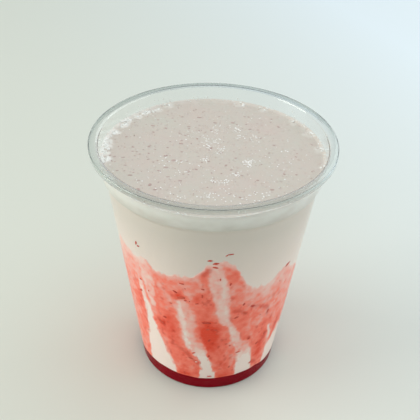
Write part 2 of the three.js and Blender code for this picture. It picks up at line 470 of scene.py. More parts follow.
def milkMaterial(values):
    material, tree, shader = startMaterial("creamyMilk", {
        "Roughness": values["roughness"],
        "Specular IOR Level": wettedGloss,
        "Subsurface Weight": values["scatter"],
        "Subsurface Radius": (0.0022, 0.0018, 0.0014),
        "Subsurface Scale": 1,
    })
    # The milk's colour carries painted light low down and painted shade higher up.
    tree.links.new(useGroup(tree, milkToneAndShade), shader.inputs["Base Color"])
    addRelief(tree, shader, scale=700.0, strength=0.08)
    return material


def makeMilk(values):
    depth = cup["wall"] - values["reach"]
    below = np.linspace(levels["syrup"] - 2, cup["shoulder"] - 1.6, 60)
    above = np.linspace(cup["shoulder"] - 1.2, levels["frothFoot"] + 0.4, 8)
    heights = np.concatenate([below, above])
    ring = softWall(heights) - depth
    profile = [(0, heights[0]), (ring[0] * 0.5, heights[0])] + list(zip(ring, heights))
    profile += [(ring[-1] * 0.5, heights[-1]), (0, heights[-1])]
    verts, faces = turnProfile(profile, turnColumns)
    piece = makeMesh("milkBody", verts, faces, milkMaterial(values))
    return keep(piece, "milk")


makeMilk(milkValues)

# The strawberry puree on the inside of the wall, as a field over the angle and the height.
# 1 is thick red puree, 0.3 is a thin pink wash over the milk, and 0 is milk alone.
# Its upper edge under the froth, as (angle, height) all the way round.
crestPoints = [
    (-78, 63), (-66, 72), (-58, 71), (-50, 70), (-40, 71.5), (-33, 68.5), (-25, 67.5), (-17, 69.5),
    (-9, 70), (-5, 73), (-2, 77.5), (3, 78.5), (9, 78.5), (14, 76), (18, 71), (22, 64.5), (26, 62),
    (34, 61.5), (41, 62), (46, 64.5), (52, 66.5), (57, 63), (66, 60), (80, 54), (100, 66), (118, 52),
    (138, 71), (158, 58), (178, 74), (200, 60), (222, 68), (245, 54), (263, 60),
]
# Each gap from the bottom up: (height, middle angle, width in degrees, how clear of puree it is).
gapRows = {
    "left": [
        (4, -37.5, 32, 1), (10, -38, 27, 1), (20, -40.3, 19, 1), (28, -41.3, 12.5, 1), (31, -42.3, 10, 1),
        (34, -43, 8, 1), (44, -44.2, 4.5, 0.97), (50, -46.5, 5, 0.85), (56, -48, 3, 0.7),
        (59, -49, 1, 0.5),
    ],
    "leftWash": [
        (46, -38.5, 3, 0.5), (52, -39.5, 8, 0.56), (60, -40, 11, 0.56), (67, -40.5, 10, 0.5),
        (70, -42, 7, 0.5),
    ],
    "middle": [
        (4, 0, 14, 1), (10, 0, 12, 1), (15, -0.5, 9.5, 1), (20, -2.5, 7.5, 1), (24, -6, 11, 0.9),
        (28, -9, 12, 0.6), (34, -11, 12, 0.25), (42, -13, 12, 0.27), (50, -15, 11, 0.32),
        (55, -17, 8, 0.45), (57, -17.5, 4, 0.5),
    ],
    "middleEdge": [
        (22, -8, 4, 0.9), (27, -12.5, 5, 0.92), (34, -15.5, 5, 0.9), (42, -17, 4.5, 0.88),
        (50, -18, 4.5, 0.85), (56, -18.5, 3, 0.7),
    ],
    "tall": [
        (42, 11, 4, 0.4), (46, 10.8, 8, 0.5), (52, 9, 9, 0.54), (60, 6.5, 10.5, 0.56),
        (68, 4.5, 11, 0.55), (73, 4, 8.5, 0.53), (76, 4.5, 4, 0.4),
    ],
    "tallEdge": [(44, 12.5, 3, 0.75), (52, 10.5, 2.6, 0.8), (60, 9, 2.6, 0.8), (70, 7.5, 2, 0.75)],
    "low": [
        (4, 30, 16, 1), (10, 29.5, 14.5, 1), (16, 29.5, 13, 1), (20, 28, 12, 0.9), (24, 26.5, 13, 0.5),
        (28, 25, 11, 0.4), (31, 20.5, 8, 0.56), (36, 17.5, 6.5, 0.72), (42, 14.5, 4.5, 0.7),
        (45, 13, 2, 0.5),
    ],
    "lowEdge": [(22, 24, 3, 0.9), (28, 19.5, 2.6, 0.9), (35, 16.5, 2.4, 0.85), (41, 14, 2, 0.8)],
    "right": [
        (4, 66, 31, 1), (12, 66, 30, 1), (17, 66, 28, 1), (21, 66, 17, 0.88), (25, 64, 6, 0.6),
        (27, 63, 2, 0.5),
    ],
    "rightThin": [(22, 52.5, 2, 0.8), (27, 50, 2.5, 0.9), (31, 48.5, 2, 0.9), (34, 47.5, 0.8, 0.6)],
    "backRight": [(4, 106, 24, 1), (16, 108, 18, 1), (30, 112, 9, 0.95), (44, 114, 3, 0.7)],
    "backRightTall": [(38, 128, 2, 0.5), (48, 127, 7, 0.62), (58, 126, 6, 0.62), (64, 126, 1, 0.5)],
    "back": [(4, 152, 21, 1), (20, 148, 14, 1), (40, 144, 9, 0.8), (54, 142, 4, 0.6)],
    "backMiddle": [(4, 192, 19, 1), (18, 190, 12, 1), (36, 184, 8, 0.85), (58, 180, 3, 0.6)],
    "backTall": [(40, 209, 2, 0.5), (50, 207, 7, 0.62), (60, 205, 6, 0.62), (68, 204, 1, 0.5)],
    "backLeft": [(4, 236, 24, 1), (14, 236, 17, 1), (28, 233, 10, 0.9), (42, 229, 4, 0.6)],
}
# Soft patches of thicker puree, or of thinner where the amount is below 0:
# (angle, height, half width, half height, amount).
patchRows = [
    (-74, 67, 10, 7, -0.2), (-54, 30, 4.5, 18, 0.13), (-57, 54, 6, 8, -0.14), (-60, 67, 12, 5, -0.14),
    (-48, 63, 4, 6, -0.18), (-47, 46, 3, 3, 0.1), (-37, 67.5, 4, 2, 0.15), (-31, 59, 6, 9, -0.08),
    (-26, 37, 6, 8, 0.36), (-25, 28, 4, 4, 0.2), (-33, 37, 3, 4, 0.2), (-18, 15, 10, 8, 0.14),
    (-12, 13, 3, 6, -0.14), (-20, 66, 8, 2.5, 0.06), (-19, 57.5, 5, 2.2, 0.3), (-4, 51, 6, 8, 0.24),
    (-6, 66, 4, 5, -0.08), (1, 38.5, 7, 9.5, 0.44), (4, 28, 7, 7, 0.16), (0, 14, 2, 6, 0.1),
    (11, 12, 8, 10, 0.22), (0, 76, 5, 2.5, -0.1), (12, 66, 5, 5, 0.12), (12, 73, 3, 3, -0.12),
    (18.5, 18, 3, 5, -0.16), (17, 56, 4, 5, 0.16), (27, 31, 4, 6, 0.1), (34, 57.5, 12, 4, -0.1),
    (46, 60, 6, 4, -0.14), (49, 59, 4, 5, -0.12), (60, 52, 5, 9, -0.1), (38, 44, 22, 12, -0.08),
    (42, 34, 8, 5, 0.16), (50, 38, 7, 6, 0.1), (42, 17, 5, 9, 0.26), (-37, 54, 4, 6, 0.2),
    (-18, 56, 4, 3, 0.25), (-34, 34, 4, 3, -0.1), (-30, 66, 3, 3, -0.14), (-7, 57, 3, 4, 0.14),
    (9, 24, 5, 5, 0.12), (60, 29, 5, 6, 0.3), (-16, 8, 10, 2.5, 0.25), (14, 8, 7, 2.5, 0.2),
    (47, 28, 3, 3, 0.2), (24, 41, 4, 4, 0.1), (27, 51, 5, 4, -0.09), (45, 51, 5, 5, -0.1),
    (60, 38, 4, 6, -0.12), (51, 21, 4, 4, -0.12), (85, 38, 9, 20, 0.3), (128, 32, 9, 14, 0.34),
    (168, 40, 9, 18, 0.34), (208, 34, 9, 16, 0.32), (250, 38, 9, 18, 0.3), (104, 60, 9, 5, -0.22),
    (145, 63, 12, 4, -0.22), (190, 64, 10, 5, -0.22), (228, 60, 9, 6, -0.22),
]
# Dark strands of pulp, as (angle, height) points along each.
strandRows = [
    [(-23, 26.5), (-17, 24), (-11, 20), (-6, 17)], [(28.5, 50.5), (35, 48.5), (42, 45.5)],
    [(42, 45), (43, 41)], [(-3, 71), (0, 74)], [(17, 50), (21, 49), (24, 47)], [(34, 14), (41, 11)],
    [(-35, 39), (-32, 37)], [(47, 28), (43, 24)], [(98, 44), (104, 38)], [(160, 52), (166, 47)],
    [(214, 46), (210, 40)], [(246, 30), (252, 24)],
]
pureeValues = {
    "depth": 0.2,  # under the wall's outside, where the puree is thick
    "dip": 0.5,  # how much deeper it lies where there is none
    "thickness": 1.1,  # its inner side's depth
    "columns": 476,
    "rows": 141,
    "top": 82.0,
    "base": 0.62,
    "streaks": 0.13,
    "blotches": 0.11,
    "ragged": 0.8,
    "least": 0.015,  # below this amount there is no puree
    "wash": (0.93, 0.6, 0.53),
    "coral": (1.0, 0.235, 0.165),
    "deep": (0.86, 0.09, 0.05),
    "dark": (0.5, 0.02, 0.015),
    "roughness": 0.3,
}


def crestAt(angle):
    points = crestPoints + [(crestPoints[0][0] + 360, crestPoints[0][1])]
    turn = points[0][0] + np.mod(angle - points[0][0], 360)
    return np.interp(turn, [p[0] for p in points], [p[1] for p in points])


# Signed angle from the middle, in degrees.
def awayFrom(angle, middle):
    return np.mod(angle - middle + 180, 360) - 180


# How much of the puree the gaps take away at a point, from 0 to 1.
def gapAt(angle, z, ragged):
    taken = np.zeros(np.shape(angle))
    reach = math.pi / 180 * (softWall(z) - 1)  # millimetres for each degree
    for rows in gapRows.values():
        heights, middles, widths, clears = np.array(rows, float).T
        middle, width, clear = (np.interp(z, heights, column) for column in (middles, widths, clears))
        inside = width / 2 * reach - np.abs(awayFrom(angle, middle)) * reach + ragged
        beyond = np.maximum(z - heights[-1], heights[0] - z)
        inside = inside - 3 * np.maximum(beyond, 0)
        taken = np.maximum(taken, clear * step(-0.7, 1.0, inside))
    # Thin places keep specks of puree.
    specks = np.clip(0.5 + 0.5 * wallNoise(81, angle, z, 1.6, 1.6, 2), 0, 1)
    return taken * (1 - 0.5 * step(1.0, 0.8, taken) * specks)


# 1 along the thin strands of pulp, 0 away from them.
def strandAt(angle, z):
    near = np.full(np.shape(angle), 9.0)  # far from every strand
    for points in strandRows:
        for (a0, z0), (a1, z1) in zip(points, points[1:]):
            scale = math.pi / 180 * 34  # millimetres for each degree, half way up the wall
            px, pz = awayFrom(angle, a0) * scale, z - z0
            dx, dz = (a1 - a0) * scale, z1 - z0
            t = np.clip((px * dx + pz * dz) / (dx * dx + dz * dz), 0, 1)
            near = np.minimum(near, np.hypot(px - t * dx, pz - t * dz))
    return step(1.5, 0.2, near + 0.5 * wallNoise(5, angle, z, 1.5, 1.5, 2))


def pureeField(angle, z):
    values = pureeValues
    feather = wallNoise(11, angle + z * 0.25, z, 2.4, 5.0, 3)
    fine = wallNoise(31, angle, z, 1.1, 1.5, 2)
    ragged = values["ragged"] * (0.8 * feather + 0.6 * fine)
    streaks = wallNoise(51, angle + z * 0.15, z, 7, 12, 3)
    blotches = wallNoise(61, angle, z, 2.2, 2.0, 3)
    amount = values["base"] + values["streaks"] * streaks + values["blotches"] * blotches
    for middle, height, halfWidth, halfHeight, more in patchRows:
        away = awayFrom(angle, middle) / halfWidth
        amount = amount + more * np.exp(-(away**2) - ((z - height) / halfHeight) ** 2)
    amount = np.clip(amount, 0.12, 1.1)
    crest = crestAt(angle) + 1.1 * wallNoise(71, angle, z, 5, 9, 3) + 0.5 * fine
    amount = amount * step(-0.4, 1.1, crest - z) * (0.62 + 0.38 * step(0, 5, crest - z))
    return amount * (1 - gapAt(angle, z, ragged))


def pureeMaterial(values):
    shine = {"Roughness": values["roughness"], "Specular IOR Level": wettedGloss}
    material, tree, shader = startMaterial("strawberryPuree", shine)
    amount = attribute(tree, "amount")
    tone = attribute(tree, "tone")
    grain = useGroup(tree, mottle, Large=700.0, Small=2200.0, Share=0.4, Contrast=1.6)
    specks = mathNode(tree, "MULTIPLY", mathNode(tree, "SUBTRACT", grain, 0.5), 0.16)
    speckled = mathNode(tree, "ADD", amount, specks)
    ramp = tree.nodes.new("ShaderNodeValToRGB")
    stops = ramp.color_ramp.elements
    stops[0].position, stops[0].color = 0.32, (*values["wash"], 1)
    stops[1].position, stops[1].color = 1.0, (*values["deep"], 1)
    stop = stops.new(0.68)
    stop.color = (*values["coral"], 1)
    tree.links.new(speckled, ramp.inputs["Fac"])
    cover = mathNode(tree, "MULTIPLY", mathNode(tree, "SUBTRACT", speckled, 0.02), 3.3, clamp=True)
    # Where there is little puree the milk's colour shows, with its painted light low down and painted
    # shade higher up.
    colour = mixColour(tree, cover, useGroup(tree, milkToneAndShade), ramp.outputs["Color"])
    colour = mixColour(tree, tone, colour, values["dark"])
    tree.links.new(colour, shader.inputs["Base Color"])
    addRelief(tree, shader, scale=900.0, strength=0.15)
    return material


def makePuree(values):
    columns, rows = values["columns"], values["rows"]
    heights = np.linspace(levels["syrup"] - 2, values["top"], rows)
    angle, z = np.meshgrid(np.arange(columns) * 360 / columns, heights)
    amount = pureeField(angle, z)
    tone = step(0.5, 1.0, wallNoise(91, angle, z, 1.6, 2.2, 2)) * 0.4 * step(0.3, 0.9, amount)
    tone = np.maximum(tone, 0.34 * strandAt(angle, z) * step(0.05, 0.3, amount))
    # Where there is no puree the skin dips under the milk, so its edge is soft and uneven.
    dip = values["dip"] * (1 - step(0.0, 0.12, amount))
    depth = values["depth"] + dip - 0.03 * wallNoise(17, angle, z, 1.5, 2.0, 2)
    outer = onWall(angle, z, depth)
    inner = onWall(angle, z, np.full(depth.shape, values["thickness"]))
    quads = gridFaces(rows, columns)
    live = quads[(amount.ravel()[quads] > values["least"]).any(axis=1)]
    used, packed = np.unique(live, return_inverse=True)
    live = packed.reshape(live.shape)
    count = len(used)
    verts = np.concatenate([outer.reshape(-1, 3)[used], inner.reshape(-1, 3)[used]])
    back = live[:, ::-1] + count
    edges = np.concatenate([live[:, [k, (k + 1) % 4]] for k in range(4)])
    # An edge that only one face has is on the border, and the border joins the two sides.
    pairs = {tuple(e) for e in edges.tolist()}
    rim = [(b, a, a + count, b + count) for a, b in pairs if (b, a) not in pairs]
    faces = live.tolist() + back.tolist() + rim
    shade = {"amount": np.tile(amount.ravel()[used], 2), "tone": np.tile(tone.ravel()[used], 2)}
    piece = makeMesh("pureeSmear", verts, faces, pureeMaterial(values), shade)
    return keep(piece, "strawberry_puree")


makePuree(pureeValues)

# The dark syrup that has settled on the floor.
syrupValues = {
    "reach": 0.36,
    "low": (0.185, 0.002, 0.006),
    "high": (0.295, 0.004, 0.014),
    "roughness": 0.12,
    "waves": 0.35,
    # How far the upper edge stands above its level, as (angle, mm) all the way round.
    "edge": [
        (-180, 0), (-80, -1.2), (-64, -1.5), (-52, -0.7), (-34, -0.1), (-18, -0.1), (0, -0.35),
        (16, -0.1), (30, 0.1), (42, -0.4), (54, -1.3), (72, -1.4), (100, -0.4), (180, 0),
    ],
}


def syrupMaterial(values):
    shine = {"Roughness": values["roughness"], "Specular IOR Level": wettedGloss}
    material, tree, shader = startMaterial("strawberrySyrup", shine)
    patches = useGroup(tree, mottle, Large=120.0, Small=900.0, Share=0.3, Contrast=1.5)
    tree.links.new(mixColour(tree, patches, values["low"], values["high"]), shader.inputs["Base Color"])
    addRelief(tree, shader, scale=300.0, strength=0.05)
    return material


def makeSyrup(values):
    depth = cup["wall"] - values["reach"]
    cornerR = cup["bodyFoot"] - cup["corner"]
    base, top = cup["floorRise"] + depth, levels["syrup"]
    profile = [(0, base), (cup["ringInner"] - cup["floorSlope"], base), (cup["ringInner"] + 0.2, depth)]
    profile += arcPoints(cornerR, cup["corner"], cup["corner"] - depth, -90, -4, 10)
    heights = np.linspace(cup["corner"], top, 8)
    profile += list(zip(softWall(heights) - depth, heights))
    profile += [(softWall(top) - depth - 1.5, top + 0.05), (0, top + 0.05)]
    verts, faces = turnProfile(profile, turnColumns)
    # The upper edge waves a little where the puree streams run down into it.
    angle = np.degrees(np.arctan2(verts[:, 0], -verts[:, 1]))
    near = step(top - 2.5, top, verts[:, 2])
    angles, lifts = np.array(values["edge"], float).T
    waves = values["waves"] * wallNoise(7, angle, np.zeros(angle.shape), 9, 10, 2)
    verts[:, 2] += near * (waves + np.interp(angle, angles, lifts))
    piece = makeMesh("syrupPool", verts, faces, syrupMaterial(values))
    return keep(piece, "syrup_layer")


makeSyrup(syrupValues)

# White foam clings where the froth meets the wall: clumps as (angle, radius, spread, count).
foamClumps = [
    (-98, 43.0, 0.9, 26), (-94, 41.4, 1.1, 26), (-86, 42.2, 0.9, 18), (-79, 42.4, 0.8, 18),
    (-80, 40.4, 0.5, 8), (-108, 41.6, 0.9, 14), (-117, 41.0, 0.7, 10), (-122, 42.2, 0.8, 12),
    (-130, 41.6, 0.7, 10), (-137, 41.8, 0.8, 10), (-144, 40.6, 0.8, 12), (-152, 42.2, 0.7, 8),
    (165, 42.2, 1.4, 6), (150, 42.6, 1.2, 5), (129, 42.4, 1.5, 6), (112, 42.4, 1.4, 6),
    (96, 42.6, 1.5, 6), (78, 42.8, 1.2, 5), (-62, 42.8, 0.6, 6),
]

# The froth: a slightly domed layer with small bubbles and pits, whiter where it meets the wall.
frothValues = {
    "reach": 0.26,
    "rings": 130,
    "columns": 640,
    "crown": 0.45,
    "bubbles": 900,
    "pits": 700,
    "clinging": 0.7,  # how far the froth climbs the wall
    "cream": (0.62, 0.597, 0.525),
    "pink": (0.65, 0.56, 0.505),
    "foam": (0.85, 0.83, 0.78),
    "pit": (0.58, 0.47, 0.43),
    "roughness": 0.4,
}


def frothMaterial(values):
    material, tree, shader = startMaterial("milkFroth", {
        "Roughness": values["roughness"],
        "IOR": 1.35,
        "Subsurface Weight": 0.15,
        "Subsurface Radius": (0.002, 0.0016, 0.0013),
        "Subsurface Scale": 1,
    })
    patches = useGroup(tree, mottle, Large=70.0, Small=420.0, Share=0.35, Contrast=2.4)
    colour = mixColour(tree, patches, values["cream"], values["pink"])
    colour = mixColour(tree, attribute(tree, "foam"), colour, values["foam"])
    colour = mixColour(tree, attribute(tree, "pit"), colour, values["pit"])
    tree.links.new(colour, shader.inputs["Base Color"])
    addRelief(tree, shader, scale=1500.0, strength=0.35)
    return material


# The froth's bare surface: its height and the mask of white foam by the wall.
def frothLevel(x, y):
    values = frothValues
    r = np.hypot(x, y)
    angle = np.degrees(np.arctan2(x, -y))
    edge = softWall(levels["froth"]) - cup["wall"]
    crown = values["crown"] * np.cos(np.clip(r / edge, 0, 1) * math.pi / 2)
    height = levels["froth"] + crown
    height = height + 0.16 * flatNoise(3, x, y, 11, 3) + 0.04 * flatNoise(23, x, y, 1.6, 2)
    left = np.exp(-((awayFrom(angle, -98) / 45) ** 2))  # most of the foam is on the left
    inward = edge - r
    foam = (0.3 + 0.5 * left) * step(2.6, 0.2, inward + 0.8 * flatNoise(43, x, y, 4, 3))
    for clumpAngle, clumpRadius, spread, _ in foamClumps:
        a = math.radians(clumpAngle)
        away = np.hypot(x - clumpRadius * math.sin(a), y + clumpRadius * math.cos(a))
        clump = step(1.2, 0.6, away / (1.2 + 1.4 * spread) + 0.3 * flatNoise(83, x, y, 1.8, 2))
        foam = np.maximum(foam, clump * (0.35 + 0.6 * left))
    height = height + foam * 0.3 * (0.7 + 0.5 * flatNoise(63, x, y, 2.4, 2))
    return height + values["clinging"] * step(1.3, 0.0, inward), foam


# The bare surface with the small bubbles and pits on it, and the masks for foam and pits.
def frothHeight(x, y, values):
    height, foam = frothLevel(x, y)
    edge = softWall(levels["froth"]) - cup["wall"]
    pit = np.zeros(np.shape(x))
    draw = np.random.RandomState(5)
    for index in range(values["bubbles"] + values["pits"]):
        distance, turn = edge * math.sqrt(draw.rand()), draw.rand() * 2 * math.pi
        radius = 0.22 + 0.4 * draw.rand() ** 2.2
        bx, by = distance * math.sin(turn), distance * math.cos(turn)
        near = np.nonzero((np.abs(x - bx) < radius) & (np.abs(y - by) < radius))
        share = np.clip(1 - ((x[near] - bx) ** 2 + (y[near] - by) ** 2) / radius**2, 0, 1)
        if index < values["bubbles"]:
            height[near] += 0.5 * radius * np.sqrt(share)
        else:
            height[near] -= 0.45 * radius * share
            pit[near] = np.maximum(pit[near], 0.55 * share)
    return height, foam, pit


def makeFroth(values):
    depth = cup["wall"] - values["reach"]
    rings, columns = values["rings"], values["columns"]
    share = np.linspace(1, 0.004, rings)
    turn = np.arange(columns) * 2 * math.pi / columns
    foot, top = levels["frothFoot"], levels["froth"]
    radius = (softWall(top + 0.8) - depth) * share[:, None]
    x, y = radius * np.sin(turn), -radius * np.cos(turn)
    height, foam, pit = frothHeight(x, y, values)
    surface = np.stack([x, y, height], axis=-1)
    sideHeights = np.linspace(foot, top - 0.8, 10)
    sideRadius = (softWall(sideHeights) - depth)[:, None]
    sideX, sideY = sideRadius * np.sin(turn), -sideRadius * np.cos(turn)
    side = np.stack([sideX, sideY, np.broadcast_to(sideHeights[:, None], sideX.shape)], axis=-1)
    grid = np.concatenate([side, surface])
    turned, tall = np.meshgrid(np.degrees(turn), sideHeights)
    sideFoam = 0.1 + 0.7 * step(foot, top - 0.5, tall + 1.5 * wallNoise(19, turned, tall, 5, 3, 3))
    verts = np.concatenate([grid.reshape(-1, 3), [[0, 0, height[-1].mean()], [0, 0, foot]]])
    total = grid.shape[0]
    faces = gridFaces(total, columns).tolist()
    last = (total - 1) * columns
    topPole, footPole = total * columns, total * columns + 1
    faces += [(last + k, last + (k + 1) % columns, topPole) for k in range(columns)]
    faces += [((k + 1) % columns, k, footPole) for k in range(columns)]
    masks = {
        "foam": np.concatenate([sideFoam.ravel(), foam.ravel(), [0, 0]]),
        "pit": np.concatenate([np.zeros(sideX.size), pit.ravel(), [0, 0]]),
    }
    piece = makeMesh("frothTop", verts, faces, frothMaterial(values), masks)
    return keep(piece, "froth")


makeFroth(frothValues)

def ballTemplate(detail):
    shape = bmesh.new()
    bmesh.ops.create_icosphere(shape, subdivisions=detail, radius=1)
    verts = np.array([v.co[:] for v in shape.verts])
    faces = np.array([[v.index for v in f.verts] for f in shape.faces])
    shape.free()
    return verts, faces


# Small lumps joined into one mesh: each is a ball stretched along three axes and set at a centre.
def joinedLumps(name, places, material, detail, rough, seed):
    base, corners = ballTemplate(detail)
    draw = np.random.RandomState(seed)
    verts, faces, tones = [], [], []
    for index, (centre, axes) in enumerate(places):
        wobble = 1 + rough * (draw.rand(len(base), 1) * 2 - 1)
        verts.append((base * wobble) @ np.asarray(axes) + centre)
        faces.append(corners + index * len(base))
        tones.append(np.full(len(base), draw.rand()))
    masks = {"tone": np.concatenate(tones)}
    return makeMesh(name, np.concatenate(verts), np.concatenate(faces).tolist(), material, masks)


def lumpMaterial(name, first, second, roughness, gloss=0.5, coat=0.0):
    shine = {"Roughness": roughness, "Specular IOR Level": gloss, "Coat Weight": coat}
    material, tree, shader = startMaterial(name, shine)
    patches = useGroup(tree, mottle, Large=900.0, Small=3000.0, Share=0.4, Contrast=1.8)
    colour = mixColour(tree, attribute(tree, "tone"), first, second)
    darker = mixColour(tree, 0.5, colour, first)
    tree.links.new(mixColour(tree, patches, colour, darker), shader.inputs["Base Color"])
    addRelief(tree, shader, scale=2500.0, strength=0.15, height=0.0001)
    return material


# Seeds and torn bits of strawberry on the wall: (angle, height, half length, half width, tilt in degrees).
seenBits = [
    (-17, 57, 1.7, 0.8, 5), (-20.5, 59.5, 1.1, 0.45, -30), (-1, 44, 1.6, 0.75, 0), (1, 33, 0.8, 0.4, 60),
    (3, 77.5, 1.2, 0.5, 10), (0, 79, 0.9, 0.4, 0), (3, 75.5, 1.2, 0.4, -10), (10.5, 82, 1.1, 0.26, 5),
    (8.5, 81.5, 0.5, 0.2, 30), (-45, 77, 1.2, 0.4, 70), (-43.5, 76, 0.8, 0.35, 20),
    (-49, 50, 1.2, 0.6, 35), (-33, 38, 1.2, 0.55, -20), (28.5, 50.5, 1.1, 0.5, -15),
    (43, 42.5, 1.0, 0.45, 80), (30, 30, 0.8, 0.45, 30), (45, 28, 1.0, 0.5, 45), (53, 65, 1.5, 0.55, 20),
    (-16, 65, 0.9, 0.45, 0), (-10, 24, 0.9, 0.4, 40), (1, 22.5, 0.8, 0.4, 80), (23, 23, 1.1, 0.4, 5),
    (36, 12, 0.9, 0.45, 10), (-12, 20, 1.2, 0.4, -30), (18, 46, 1.0, 0.5, 20), (22, 53, 0.7, 0.4, 60),
    (6, 69, 0.6, 0.3, 90), (-47, 57, 0.8, 0.35, 10), (2, 8.5, 1.0, 0.4, 5), (13, 30, 0.6, 0.3, 0),
    (-4, 59.5, 0.9, 0.4, 80), (-7, 55, 0.7, 0.35, 30), (-30, 42, 0.8, 0.4, 0), (24, 47.5, 1.0, 0.45, -35),
    (0, 40, 0.8, 0.4, 20), (5, 39.5, 0.8, 0.4, -20), (-24, 52, 0.6, 0.3, 0), (17, 14, 0.7, 0.35, 60),
    (39, 24, 0.9, 0.45, 30), (12, 66, 0.7, 0.35, 70),
]
bitValues = {
    "depth": 0.18,
    "thick": 0.11,
    "others": 50,
    "first": (0.56, 0.07, 0.05),
    "second": (0.82, 0.16, 0.1),
}


def makeBits(values):
    draw = np.random.RandomState(21)
    angles = draw.rand(values["others"] * 3) * 360 - 180
    heights = 8 + draw.rand(values["others"] * 3) * 68
    inPuree = np.nonzero(pureeField(angles, heights) > 0.35)[0][: values["others"]]
    bits = list(seenBits)
    for index in inPuree:
        long = 0.25 + 0.4 * draw.rand() ** 2
        wide = long * (0.4 + 0.4 * draw.rand())
        bits.append((angles[index], heights[index], long, wide, draw.rand() * 180))
    places = []
    for angle, z, long, wide, tilt in bits:
        a, t = math.radians(angle), math.radians(tilt)
        out = np.array([math.sin(a), -math.cos(a), -0.13])  # square to the slanting wall
        out /= np.linalg.norm(out)
        side = np.array([math.cos(a), math.sin(a), 0])
        up = np.cross(out, side)
        first = side * math.cos(t) + up * math.sin(t)
        second = up * math.cos(t) - side * math.sin(t)
        axes = [first * long, second * wide, out * values["thick"]]
        places.append((onWall(angle, z, values["depth"]), axes))
    material = lumpMaterial("strawberryBits", values["first"], values["second"], 0.35, gloss=wettedGloss)
    keep(joinedLumps("strawberryBits", places, material, 2, 0.28, 31))


makeBits(bitValues)

# Brown-pink flecks of strawberry in the froth, at their places in millimetres, with more between them.
seenFlecks = [
    (-6.1, 27.3), (0.4, 23.1), (7.8, 23.5), (14.6, 18.5), (-13.3, 27.4), (-24.7, 19.4), (-19.3, 17.3),
    (-10.1, 19.1), (-12.4, 7.8), (-24.8, 2.9), (-31.1, 2.4), (-18, -3.8), (-14.9, -7), (-12.7, 5.4),
    (-0.9, 2.3), (3, -0.7), (-17.4, -12.1), (-19.8, -14.5), (-16.3, -18.4), (-22.4, -24), (-20.4, -26.9),
    (-11.8, -20.8), (-6.2, -12.8), (-8.8, -14.6), (4.9, -9.7), (8.3, -4.5), (26.4, -14.1), (21.4, -24.9),
    (37.3, -11.4), (26.2, 21.6), (-30.2, -17.8), (-34.1, -5.5), (-32.8, -11.1),
]
fleckValues = {"others": 220, "first": (0.48, 0.35, 0.32), "second": (0.57, 0.46, 0.42)}


def makeFlecks(values):
    draw = np.random.RandomState(77)
    spots = [(x, y, 0.65 + 0.4 * draw.rand()) for x, y in seenFlecks]
    while len(spots) < len(seenFlecks) + values["others"]:
        r, turn = 41 * math.sqrt(draw.rand()), draw.rand() * 2 * math.pi
        x, y = r * math.sin(turn), r * math.cos(turn)
        if draw.rand() < 0.5 - 0.011 * x:  # more of them on the left
            spots.append((x, y, 0.18 + 0.45 * draw.rand() ** 2))
    spots = np.array(spots)
    levelsAt = frothLevel(spots[:, 0], spots[:, 1])[0]
    places = []
    for (x, y, size), z in zip(spots, levelsAt):
        t = draw.randn() * 0.5
        wide = size * (0.4 + 0.3 * draw.rand())
        along = [size * math.cos(t), size * math.sin(t), 0]
        across = [-wide * math.sin(t), wide * math.cos(t), 0]
        places.append(((x, y, z + 0.01), [along, across, [0, 0, 0.1]]))
    material = lumpMaterial("frothFlecks", values["first"], values["second"], 0.5, gloss=0.2)
    keep(joinedLumps("frothFlecks", places, material, 2, 0.15, 41))


makeFlecks(fleckValues)

# Low white bubbles on the froth, coloured near white as painted highlights that stand in for their glints,
# gathered where the glints gather: groups as (x, y, spread, count), and single ones between them.
glintBubbleGroups = [
    (13.8, -6.2, 0.9, 26), (13.2, -8.8, 0.9, 22), (8.2, -15.7, 1.1, 18), (0.5, -20.5, 0.6, 8),
    (2.7, -20.9, 0.6, 8), (4.9, -20.4, 0.6, 8), (-3.4, -6.6, 0.9, 14), (-2.2, 6.5, 2.4, 34),
    (2.5, 1.5, 2.2, 26), (1.3, 15.7, 2.2, 20), (9, 18.6, 1.3, 16), (10.5, 12, 0.8, 9), (16, 11, 1.2, 14),
    (18.3, -28.9, 1.6, 12), (-9, 13, 3.5, 16), (-14, -12, 4.5, 26), (25, -4, 4.0, 16), (-12, -30, 3, 14),
    (-4, -32.5, 3, 16), (4, -29, 3.5, 14), (12, -31.5, 3, 14), (-18, -26, 3, 8), (20, -23, 3, 8),
]
glintBubbleValues = {"others": 300, "first": (0.93, 0.92, 0.88), "second": (1.0, 1.0, 0.98)}


# Low domes of the given half widths on the froth's surface, each lifted by a share of its size.
def domesOn(spots, lift, flat):
    x, y, size = np.array(spots).T
    z = frothLevel(x, y)[0] + lift * size
    return [((x[k], y[k], z[k]), np.diag([size[k], size[k], size[k] * flat])) for k in range(len(x))]


def makeGlintBubbles(values):
    draw = np.random.RandomState(9)
    spots = []
    for x, y, spread, count in glintBubbleGroups:
        for _ in range(count):
            spots.append((x + spread * draw.randn(), y + spread * draw.randn(), 0.17 + 0.2 * draw.rand()))
    for _ in range(values["others"]):
        r, turn = 42 * math.sqrt(draw.rand()), draw.rand() * 2 * math.pi
        spots.append((r * math.sin(turn), r * math.cos(turn), 0.12 + 0.16 * draw.rand() ** 2))
    # Painted highlights: the near-white colour stands in for the glints of light on the bubbles.
    material = lumpMaterial("frothBubblesPaintedGlints", values["first"], values["second"], 0.08, coat=0.6)
    keep(joinedLumps("frothBubblesPaintedGlints", domesOn(spots, 0.1, 0.45), material, 2, 0.0, 51))


makeGlintBubbles(glintBubbleValues)

# The white foam's bubbles: a thin ring by the wall, the clumps, and drops left on the wall above.
foamValues = {"ring": 300, "wall": 200, "first": (0.84, 0.85, 0.8), "second": (0.97, 0.975, 0.95)}


